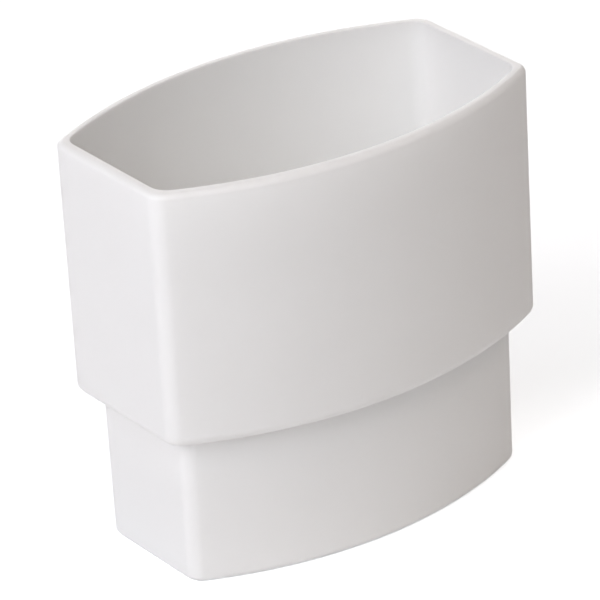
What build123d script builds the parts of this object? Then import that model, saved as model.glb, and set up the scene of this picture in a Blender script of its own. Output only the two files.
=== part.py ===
from build123d import *
import os
from math import radians, sqrt, tan

# Downpipe coupler for barrel-section rainwater pipe, moulded in one piece, in millimetres.
# It stands on the end of its spigot. The origin is at the middle of that end, X runs along
# the section's long side and Z points up through the socket's mouth. The upper pipe drops
# into the socket and seats on the stop ledge. The spigot goes down inside the lower pipe.

# The pipe above and below: two bowed long sides between two flat ends
pipe_length = 90.0  # outside, from flat end to flat end
pipe_width = 56.0  # outside, from crown to crown of the bowed sides
pipe_end = 32.6  # one flat end, from bow to bow before the corners are rounded
pipe_wall = 1.8

# The coupler's walls and lengths
wall = 2.4
corner_radius = 4.2  # upright corners, inside and outside
socket_depth = 55.0  # from the mouth down to the stop ledge
ledge_thickness = 2.5
spigot_length = 34.5

# Fits on each side, and the draft that lets the moulding leave its tool
seat_clearance = 0.15  # round the upper pipe, where it seats on the ledge
spigot_clearance = 0.3  # between the spigot's root and the lower pipe's bore
socket_draft = 0.25  # degrees, opening towards the mouth
spigot_draft = 0.5  # degrees, closing towards the spigot's end

# Rounded and bevelled edges
rim_radius = 1.3
mouth_bevel = 0.2  # breaks the inner edge of the rim
shoulder_radius = 2.2  # lower outer edge of the socket
root_bevel = 0.8  # where the spigot leaves the shoulder
ledge_bevel = 1.5  # inner edge of the ledge, where the water runs over it
tip_radius = 1.6  # outer edge of the spigot's end, which leads it into the lower pipe

# The most that an edge takes of the flat ring that it runs round
outer_share = 0.7
inner_share = 0.25

# Levels above the spigot's end
shoulder_level = spigot_length
ledge_level = shoulder_level + ledge_thickness
mouth_level = ledge_level + socket_depth

# Each section is the pipe's outside grown evenly outwards, or inwards where the growth is negative
shoulder_growth = seat_clearance + wall - ledge_thickness * tan(radians(socket_draft))
root_growth = -pipe_wall - spigot_clearance
bore_growth = root_growth - wall + ledge_thickness * tan(radians(spigot_draft))

# One bow is an arc, with its centre on the far side of the section's long axis
bow_rise = (pipe_width - pipe_end) / 2
bow_radius = ((pipe_length / 2) ** 2 + bow_rise**2) / (2 * bow_rise)
bow_centre = bow_radius - pipe_width / 2


def barrel_section(growth, level):
    """Barrel outline as a face at a level."""
    half_length = pipe_length / 2 + growth
    half_width = pipe_width / 2 + growth
    half_end = sqrt((bow_radius + growth) ** 2 - half_length**2) - bow_centre
    front = ThreePointArc((-half_length, -half_end), (0, -half_width), (half_length, -half_end))
    right = Line((half_length, -half_end), (half_length, half_end))
    back = ThreePointArc((half_length, half_end), (0, half_width), (-half_length, half_end))
    left = Line((-half_length, half_end), (-half_length, -half_end))
    outline = make_face([front, right, back, left])
    outline = fillet(outline.vertices(), corner_radius)
    return Pos(0, 0, level) * outline


def flat_face(solid, level):
    """The flat ring that lies at a level."""
    flats = solid.faces().filter_by(Plane.XY)
    return flats.filter_by_position(Axis.Z, level - 0.01, level + 0.01)[0]


def outer_edges(solid, level):
    return flat_face(solid, level).outer_wire().edges()


def inner_edges(solid, level):
    return flat_face(solid, level).inner_wires()[0].edges()


def coupler_body():
    """Socket above, spigot below, and the ledge between their walls."""
    socket_base = barrel_section(shoulder_growth, shoulder_level)
    socket = extrude(socket_base, mouth_level - shoulder_level, taper=-socket_draft)
    spigot = extrude(barrel_section(root_growth, shoulder_level), -shoulder_level, taper=spigot_draft)
    cavity = extrude(barrel_section(seat_clearance, ledge_level), socket_depth, taper=-socket_draft)
    bore = extrude(barrel_section(bore_growth, ledge_level), -ledge_level, taper=spigot_draft)
    body = socket + spigot - cavity - bore

    shoulder_width = shoulder_growth - root_growth
    bare_ledge = -pipe_wall - bore_growth
    body = fillet(outer_edges(body, mouth_level), min(rim_radius, outer_share * wall))
    body = chamfer(inner_edges(body, mouth_level), min(mouth_bevel, inner_share * wall))
    body = fillet(outer_edges(body, shoulder_level), min(shoulder_radius, outer_share * shoulder_width))
    body = chamfer(inner_edges(body, shoulder_level), min(root_bevel, inner_share * shoulder_width))
    body = chamfer(inner_edges(body, ledge_level), min(ledge_bevel, outer_share * bare_ledge))
    body = fillet(outer_edges(body, 0), min(tip_radius, outer_share * wall))
    return body


os.makedirs("parts", exist_ok=True)
export_step(coupler_body(), "parts/coupler_body.step")
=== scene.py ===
import bpy
import bmesh
from math import asin, cos, hypot, radians, sin, sqrt, tan
from mathutils import Matrix, Vector


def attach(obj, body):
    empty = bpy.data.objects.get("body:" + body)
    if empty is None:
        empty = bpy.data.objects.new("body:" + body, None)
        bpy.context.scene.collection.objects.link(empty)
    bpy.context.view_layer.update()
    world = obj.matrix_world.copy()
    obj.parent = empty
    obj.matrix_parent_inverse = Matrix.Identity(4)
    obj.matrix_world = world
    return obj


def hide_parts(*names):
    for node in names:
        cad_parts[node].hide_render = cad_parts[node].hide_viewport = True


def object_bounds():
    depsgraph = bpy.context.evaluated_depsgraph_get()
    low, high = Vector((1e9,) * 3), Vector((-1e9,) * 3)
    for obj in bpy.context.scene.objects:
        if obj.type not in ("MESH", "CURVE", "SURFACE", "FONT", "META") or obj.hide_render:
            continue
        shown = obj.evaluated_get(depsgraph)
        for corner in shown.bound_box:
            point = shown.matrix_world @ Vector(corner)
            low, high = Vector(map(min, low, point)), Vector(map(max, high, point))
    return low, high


mm = 0.001  # Blender works in metres, and the sizes below are written in millimetres
touching = 0.01 * mm  # points closer than this are one point

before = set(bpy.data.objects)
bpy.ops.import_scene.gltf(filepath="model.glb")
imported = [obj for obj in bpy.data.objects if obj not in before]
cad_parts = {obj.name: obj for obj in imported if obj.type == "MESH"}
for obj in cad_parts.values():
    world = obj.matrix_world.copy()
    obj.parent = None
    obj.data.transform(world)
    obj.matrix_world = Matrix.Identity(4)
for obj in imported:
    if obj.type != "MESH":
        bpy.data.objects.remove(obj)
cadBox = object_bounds()
print("frame loaded")


def deselectAll():
    if bpy.context.mode != "OBJECT":
        bpy.ops.object.mode_set(mode="OBJECT")
    bpy.ops.object.select_all(action="DESELECT")


def hexColor(code):  # sRGB hex to linear
    channels = [int(code[i:i + 2], 16) / 255 for i in (0, 2, 4)]
    linear = [c / 12.92 if c <= 0.04045 else ((c + 0.055) / 1.055) ** 2.4 for c in channels]
    return (*linear, 1.0)


def addNode(tree, kind, settings=None, links=None):
    node = tree.nodes.new(kind)
    for name, value in (settings or {}).items():
        if hasattr(node, str(name)):
            setattr(node, name, value)
        else:
            node.inputs[name].default_value = value
    for name, socket in (links or {}).items():
        tree.links.new(socket, node.inputs[name])
    return node


# Coupler shell
# The same barrel outline at eight places on the wall, each grown out or in from the downpipe's outline

coupler = {
    "pipeHalfLength": 45.0 * mm,
    "pipeHalfWidth": 28.0 * mm,
    "pipeHalfEnd": 16.3 * mm,  # flat end, up to where its sharp corner would be
    "cornerRadius": 4.2 * mm,
    "wall": 2.4 * mm,
    "shoulderLevel": 34.5 * mm,
    "ledgeLevel": 37.0 * mm,
    "seatGrowth": 0.15 * mm,
    "rootGrowth": -2.1 * mm,
    "socketDraft": radians(0.25),
    "spigotDraft": radians(0.5),
    "bowSteps": 40,  # half a bow
    "cornerSteps": 12,
    "roundSteps": 8,
    "flatWeight": 60,  # how strongly the large faces decide the shading, 50 is even
}
edgeRounds = {  # radius or bevel of each ring, and its profile: 0.5 is round, towards 0.25 it is flat
    "rim": (1.3 * mm, 0.5),
    "mouth": (0.2 * mm, 0.32),
    "shoulder": (2.2 * mm, 0.5),
    "root": (0.8 * mm, 0.32),
    "ledge": (1.5 * mm, 0.32),
    "tip": (1.6 * mm, 0.5),
    "bore": (0.25 * mm, 0.5),
}


def sectionRings():
    c = coupler
    top = cadBox[1].z
    socketSlope, spigotSlope = tan(c["socketDraft"]), tan(c["spigotDraft"])
    ledge = c["ledgeLevel"] - c["shoulderLevel"]
    shoulder = c["seatGrowth"] + c["wall"] - ledge * socketSlope
    boreTop = c["rootGrowth"] - c["wall"] + ledge * spigotSlope
    rimDrift = (top - c["shoulderLevel"]) * socketSlope
    mouthDrift = (top - c["ledgeLevel"]) * socketSlope
    tipDrift = -c["shoulderLevel"] * spigotSlope
    boreDrift = -c["ledgeLevel"] * spigotSlope
    return {  # growth and level, then what the draft adds to both the growth and the corner's radius
        "tip": (c["rootGrowth"], 0, tipDrift),
        "root": (c["rootGrowth"], c["shoulderLevel"], 0),
        "shoulder": (shoulder, c["shoulderLevel"], 0),
        "rim": (shoulder, top, rimDrift),
        "mouth": (c["seatGrowth"], top, mouthDrift),
        "seat": (c["seatGrowth"], c["ledgeLevel"], 0),
        "ledge": (boreTop, c["ledgeLevel"], 0),
        "bore": (boreTop, 0, boreDrift),
    }


def bowCircle():
    rise = coupler["pipeHalfWidth"] - coupler["pipeHalfEnd"]
    radius = (coupler["pipeHalfLength"] ** 2 + rise ** 2) / (2 * rise)
    return radius, radius - coupler["pipeHalfWidth"]  # and how far its centre is past the long axis


def addQuarterRing(growth, level, drift):  # half a flat end, a rounded corner and half a bow
    bowRadius, bowCentre = bowCircle()
    growth += drift
    radius = coupler["cornerRadius"] + drift
    cornerX = coupler["pipeHalfLength"] + growth - radius
    cornerY = sqrt((bowRadius + growth - radius) ** 2 - cornerX ** 2) - bowCentre
    bowTurn = asin(cornerX / (bowRadius + growth - radius))
    bpy.ops.mesh.select_all(action="DESELECT")
    bpy.ops.mesh.primitive_circle_add(vertices=4, radius=mm, location=(cornerX + radius, 0, level))
    bpy.ops.mesh.merge(type="CENTER")  # one point, drawn out into the outline
    bpy.ops.mesh.extrude_region_move(TRANSFORM_OT_translate={"value": (0, cornerY, 0)})
    bpy.ops.mesh.spin(steps=coupler["cornerSteps"], angle=bowTurn - radians(90),
                      center=(cornerX, cornerY, level), axis=(0, 0, 1))
    bpy.ops.mesh.spin(steps=coupler["bowSteps"], angle=-bowTurn,
                      center=(0, -bowCentre, level), axis=(0, 0, 1))


def selectRing(mesh, ring):  # edges that lie on a ring, found by their level and their growth
    growth, level, drift = ring
    bowRadius, bowCentre = bowCircle()
    cornerLoss = 0.9 * mm  # a rounded corner lies this much inside a sharp one, or less

    def onRing(point):
        along = abs(point.x) - coupler["pipeHalfLength"]
        across = hypot(point.x, abs(point.y) + bowCentre) - bowRadius
        short = growth + drift - max(along, across)
        return abs(point.z - level) < touching and -touching < short < cornerLoss

    for edge in mesh.edges:
        if all(onRing(v.co) for v in edge.verts):
            edge.select_set(True)


def makeCoupler():
    deselectAll()
    bpy.ops.mesh.primitive_plane_add(size=mm)
    shell = bpy.context.active_object
    shell.name = shell.data.name = "couplerShell"
    bpy.ops.object.mode_set(mode="EDIT")
    bpy.ops.mesh.delete(type="VERT")
    rings = sectionRings()
    bpy.context.tool_settings.mesh_select_mode = (True, False, False)
    for ring in rings.values():
        addQuarterRing(*ring)
    bpy.context.tool_settings.mesh_select_mode = (False, True, False)
    names = list(rings)
    for name, following in zip(names, names[1:] + names[:1]):
        bpy.ops.mesh.select_all(action="DESELECT")
        mesh = bmesh.from_edit_mesh(shell.data)
        selectRing(mesh, rings[name])
        selectRing(mesh, rings[following])
        bmesh.update_edit_mesh(shell.data)
        bpy.ops.mesh.bridge_edge_loops()
    bpy.ops.object.mode_set(mode="OBJECT")

    mirror = shell.modifiers.new("otherQuarters", "MIRROR")
    mirror.use_axis = (True, True, False)
    mirror.merge_threshold = touching
    bpy.ops.object.modifier_apply(modifier=mirror.name)

    bpy.ops.object.mode_set(mode="EDIT")
    bpy.ops.mesh.select_all(action="SELECT")
    bpy.ops.mesh.remove_doubles(threshold=touching)
    bpy.ops.mesh.normals_make_consistent(inside=False)
    for name, (size, profile) in edgeRounds.items():
        bpy.ops.mesh.select_all(action="DESELECT")
        selectRing(bmesh.from_edit_mesh(shell.data), rings[name])
        bmesh.update_edit_mesh(shell.data)
        bpy.ops.mesh.bevel(offset=size, segments=coupler["roundSteps"], profile=profile, affect="EDGES")
    bpy.ops.object.mode_set(mode="OBJECT")
    bpy.ops.object.shade_smooth()

    flats = shell.modifiers.new("evenShading", "WEIGHTED_NORMAL")  # keeps flats flat beside the rounds
    flats.mode = "FACE_AREA_WITH_ANGLE"
    flats.weight = coupler["flatWeight"]
    bpy.ops.object.modifier_apply(modifier=flats.name)
    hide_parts("coupler_body")
    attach(shell, "root")
    return shell


# Injection-moulded rigid PVC, white: opaque but softened by light that spreads below the skin,
# with the satin surface that a blasted mould leaves

pvc = {
    "color": "F9F9F8",
    "cloudColor": "F7F7F5",  # where the white pigment is thinner
    "cloud": 14.0 * mm,
    "grain": 0.35 * mm,  # blasted mould texture, drawn about three times too coarse so that it shows
    "grainDepth": 0.003 * mm,
    "ripple": 11.0 * mm,  # sink and flow, seen only as a slight unevenness of the shading
    "rippleDepth": 0.02 * mm,
    "roughness": (0.5, 0.6),
    "ior": 1.53,
    "scatter": 1.0,
    "scatterDepth": 2.7 * mm,  # how far the light spreads, the same for every colour
}


def makePvc():
    material = bpy.data.materials.new("injectionMouldedWhitePvc")
    material.use_nodes = True
    tree = material.node_tree
    tree.nodes.clear()
    place = addNode(tree, "ShaderNodeTexCoord").outputs["Object"]
    cloud = addNode(tree, "ShaderNodeTexNoise", {"Scale": 1 / pvc["cloud"], "Detail": 2.0},
                    {"Vector": place})
    grain = addNode(tree, "ShaderNodeTexNoise", {"Scale": 1 / pvc["grain"], "Detail": 1.0},
                    {"Vector": place})
    ripple = addNode(tree, "ShaderNodeTexNoise", {"Scale": 1 / pvc["ripple"], "Detail": 1.0},
                     {"Vector": place})
    tint = addNode(tree, "ShaderNodeMix", {"data_type": "RGBA"}, {"Factor": cloud.outputs["Fac"]})
    tint.inputs[6].default_value = hexColor(pvc["color"])
    tint.inputs[7].default_value = hexColor(pvc["cloudColor"])
    sheen = addNode(tree, "ShaderNodeMapRange",
                    {"To Min": pvc["roughness"][0], "To Max": pvc["roughness"][1]},
                    {"Value": grain.outputs["Fac"]})
    waves = addNode(tree, "ShaderNodeBump", {"Distance": pvc["rippleDepth"]},
                    {"Height": ripple.outputs["Fac"]})
    skin = addNode(tree, "ShaderNodeBump", {"Distance": pvc["grainDepth"]},
                   {"Height": grain.outputs["Fac"], "Normal": waves.outputs["Normal"]})
    surface = addNode(tree, "ShaderNodeBsdfPrincipled",
                      {"IOR": pvc["ior"], "Subsurface Weight": pvc["scatter"],
                       "Subsurface Scale": pvc["scatterDepth"], "Subsurface Radius": (1.0, 1.0, 1.0)},
                      {"Base Color": tint.outputs[2], "Roughness": sheen.outputs["Result"],
                       "Normal": skin.outputs["Normal"]})
    addNode(tree, "ShaderNodeOutputMaterial", links={"Surface": surface.outputs["BSDF"]})
    return material


shell = makeCoupler()
shell.data.materials.append(makePvc())
print("coupler shell:", len(shell.data.polygons), "faces")


# Studio: a white sweep that the camera sees as white, and soft lamps

studio = {
    "floorSize": 6.0,  # metres
    "floorColor": "F8F8F8",
    "floorLift": (0.53, 1.1),  # what the camera sees on top of the lit floor, by the shadow and far off
    "floorFade": (0.4, 1.2),  # where the one turns to the other, in metres from the floor's middle
    "floorGlow": "F8FBFF",  # slightly cool, so that the shadow is a neutral grey
    "lampDistance": 1.6,  # from the middle of the coupler
}
lamps = {  # direction in degrees, width and height in metres, power in watts
    "leftKey": {"azimuth": -80, "elevation": 24, "size": (1.2, 1.0), "power": 6.35, "color": "F8F6FF"},
    "leftHigh": {"azimuth": -85, "elevation": 40, "size": (1.2, 1.0), "power": 6.86, "color": "FFFCFF"},
    "frontLeft": {"azimuth": -50, "elevation": 40, "size": (1.2, 1.0), "power": 8.76, "color": "FCFFFF"},
    "highRight": {"azimuth": 40, "elevation": 60, "size": (1.2, 1.0), "power": 6.1, "color": "FFEDE0"},
    "lowBack": {"azimuth": 150, "elevation": 8, "size": (1.2, 0.35), "power": 14.6, "color": "FFFFFF"},
}


def direction(azimuth, elevation):  # azimuth 0 is the side that faces -Y, and -90 the side that faces -X
    a, e = radians(azimuth), radians(elevation)
    return Vector((sin(a) * cos(e), -cos(a) * cos(e), sin(e)))


def seenByLens(tree):  # 1 for rays from the camera, also by way of gloss or glass, and 0 for the rest
    path = addNode(tree, "ShaderNodeLightPath")
    straight = addNode(tree, "ShaderNodeMath", {"operation": "MAXIMUM"},
                       {0: path.outputs["Is Camera Ray"], 1: path.outputs["Is Glossy Ray"]})
    seen = addNode(tree, "ShaderNodeMath", {"operation": "MAXIMUM"},
                   {0: straight.outputs[0], 1: path.outputs["Is Transmission Ray"]})
    return seen.outputs[0]


def makeStudio():
    deselectAll()
    bpy.ops.mesh.primitive_plane_add(size=studio["floorSize"])
    floor = bpy.context.active_object
    floor.name = floor.data.name = "studioFloor"
    material = bpy.data.materials.new("whitePaperSweep")
    material.use_nodes = True
    tree = material.node_tree
    tree.nodes.clear()
    place = addNode(tree, "ShaderNodeTexCoord").outputs["Object"]
    away = addNode(tree, "ShaderNodeVectorMath", {"operation": "LENGTH"}, {0: place}).outputs["Value"]
    near, far = studio["floorFade"]
    nearLift, farLift = studio["floorLift"]
    fade = addNode(tree, "ShaderNodeMapRange",
                   {"From Min": near, "From Max": far, "To Min": nearLift, "To Max": farLift},
                   {"Value": away})
    lift = addNode(tree, "ShaderNodeMath", {"operation": "MULTIPLY"},
                   {0: seenByLens(tree), 1: fade.outputs["Result"]})
    paper = addNode(tree, "ShaderNodeBsdfDiffuse", {"Color": hexColor(studio["floorColor"])})
    glow = addNode(tree, "ShaderNodeEmission", {"Color": hexColor(studio["floorGlow"])},
                   {"Strength": lift.outputs[0]})
    both = addNode(tree, "ShaderNodeAddShader", {}, {0: paper.outputs[0], 1: glow.outputs[0]})
    addNode(tree, "ShaderNodeOutputMaterial", links={"Surface": both.outputs[0]})
    floor.data.materials.append(material)

    world = bpy.data.worlds.new("studioWorld")  # seen as white, and gives no light
    bpy.context.scene.world = world
    world.use_nodes = True
    tree = world.node_tree
    tree.nodes.clear()
    white = addNode(tree, "ShaderNodeBackground", {"Color": hexColor("FFFFFF")},
                    {"Strength": seenByLens(tree)})
    addNode(tree, "ShaderNodeOutputWorld", links={"Surface": white.outputs[0]})

    aim = Vector((0, 0, cadBox[1].z / 2))
    for name, lamp in lamps.items():
        toLamp = direction(lamp["azimuth"], lamp["elevation"])
        bpy.ops.object.light_add(type="AREA", location=aim + toLamp * studio["lampDistance"])
        light = bpy.context.active_object
        light.name = light.data.name = name
        light.rotation_euler = toLamp.to_track_quat("Z", "Y").to_euler()
        light.data.shape = "RECTANGLE"
        light.data.size, light.data.size_y = lamp["size"]
        light.data.energy = lamp["power"]
        light.data.color = hexColor(lamp["color"])[:3]


# Camera, at the photograph's viewing angle

view = {
    "azimuth": -34.55,
    "elevation": 26.15,
    "roll": 3.37,  # degrees, the picture leans to the left
    "distance": 1089.1 * mm,
    "lens": 310.2,  # focal length for Blender's 36 mm sensor
    "across": 1.05 * mm,  # how far the object's middle lies right of the picture's middle
    "above": -0.53 * mm,
    "clipEnd": 20.0,
}


def makeCamera():
    back = direction(view["azimuth"], view["elevation"])
    right = Vector((cos(radians(view["azimuth"])), sin(radians(view["azimuth"])), 0))
    up = back.cross(right)
    middle = Vector((0, 0, cadBox[1].z / 2))
    place = middle + back * view["distance"] - right * view["across"] - up * view["above"]
    bpy.ops.object.camera_add(location=place)
    camera = bpy.context.active_object
    camera.name = camera.data.name = "photoCamera"
    camera.data.lens = view["lens"]
    camera.data.clip_end = view["clipEnd"]
    turn = Matrix((right, up, back)).transposed() @ Matrix.Rotation(radians(-view["roll"]), 3, "Z")
    camera.rotation_euler = turn.to_euler()
    bpy.context.scene.camera = camera


makeStudio()
makeCamera()
bpy.context.scene.view_settings.view_transform = "Standard"
print("studio and camera ready")

bpy.context.view_layer.update()
